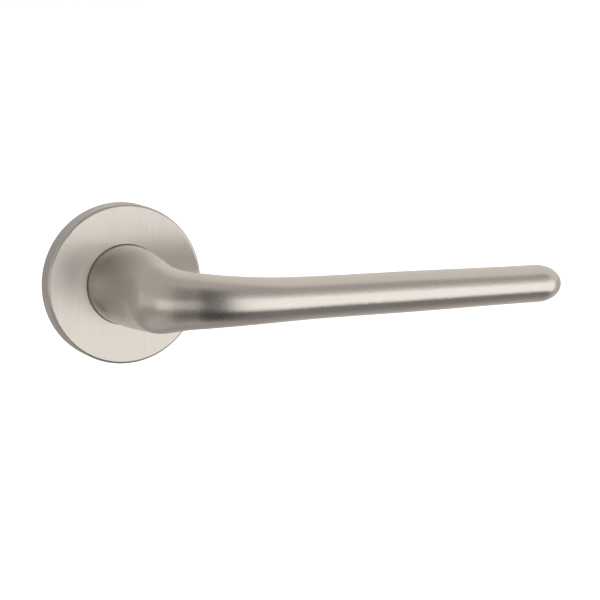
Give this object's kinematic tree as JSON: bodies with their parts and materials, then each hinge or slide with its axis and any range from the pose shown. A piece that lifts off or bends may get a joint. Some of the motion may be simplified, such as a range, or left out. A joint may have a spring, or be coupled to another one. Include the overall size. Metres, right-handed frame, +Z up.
{
  "type": "door lever handle",
  "caption": "Lever handle on a slim round rose for an interior door, with a return spring, square spindle and through-door fixing posts.",
  "frame": {"origin": "centre of the rose's back, where the spindle's axis meets the door's face", "axes": "+X along the grip, +Y into the door along the spindle, +Z up"},
  "size_m": [0.1567, 0.1103, 0.052],
  "materials": {
    "satin_nickel": "satin",
    "zinc_plated_steel": "bright zinc",
    "dark_spring_steel": "oiled black",
    "bright_screw_steel": "yellowish zinc",
    "cast_zinc": "matt as cast",
    "white_nylon": "matt",
    "black_nylon": "matt"
  },
  "bodies": {
    "rose": {"base_plate": "cast_zinc", "bearing_bush": "white_nylon", "return_spring": "dark_spring_steel", "back_plate": "zinc_plated_steel", "cover_ring": "dark_spring_steel", "back_plate_screw_1": "bright_screw_steel", "back_plate_screw_2": "bright_screw_steel", "back_plate_screw_3": "bright_screw_steel", "back_plate_screw_4": "bright_screw_steel", "fixing_post_left": "zinc_plated_steel", "fixing_post_right": "zinc_plated_steel", "wood_screw_top": "bright_screw_steel", "wood_screw_bottom": "bright_screw_steel"},
    "lever": {"lever_handle": "satin_nickel", "spindle": "zinc_plated_steel", "grub_screw": "dark_spring_steel", "spring_driver": "zinc_plated_steel", "thrust_washer": "zinc_plated_steel", "spring_washer": "dark_spring_steel", "retaining_ring": "dark_spring_steel"},
    "cover": {"rosette_cover": "satin_nickel", "neck_ring": "black_nylon"}
  },
  "joints": [
    {"name": "lever_turn", "type": "hinge", "parent": "rose", "child": "lever", "pos_m": [0, 0, 0], "axis": [0, 1, 0], "range_deg": [0, 45], "stiffness_Nm_per_rad": 0.35, "springref_deg": -51.57, "deforming": ["return_spring"]},
    {"name": "cover_slide", "type": "slide", "parent": "rose", "child": "cover", "axis": [0, -1, 0], "range_m": [0, 0.012], "deforming": ["cover_ring"]}
  ]
}
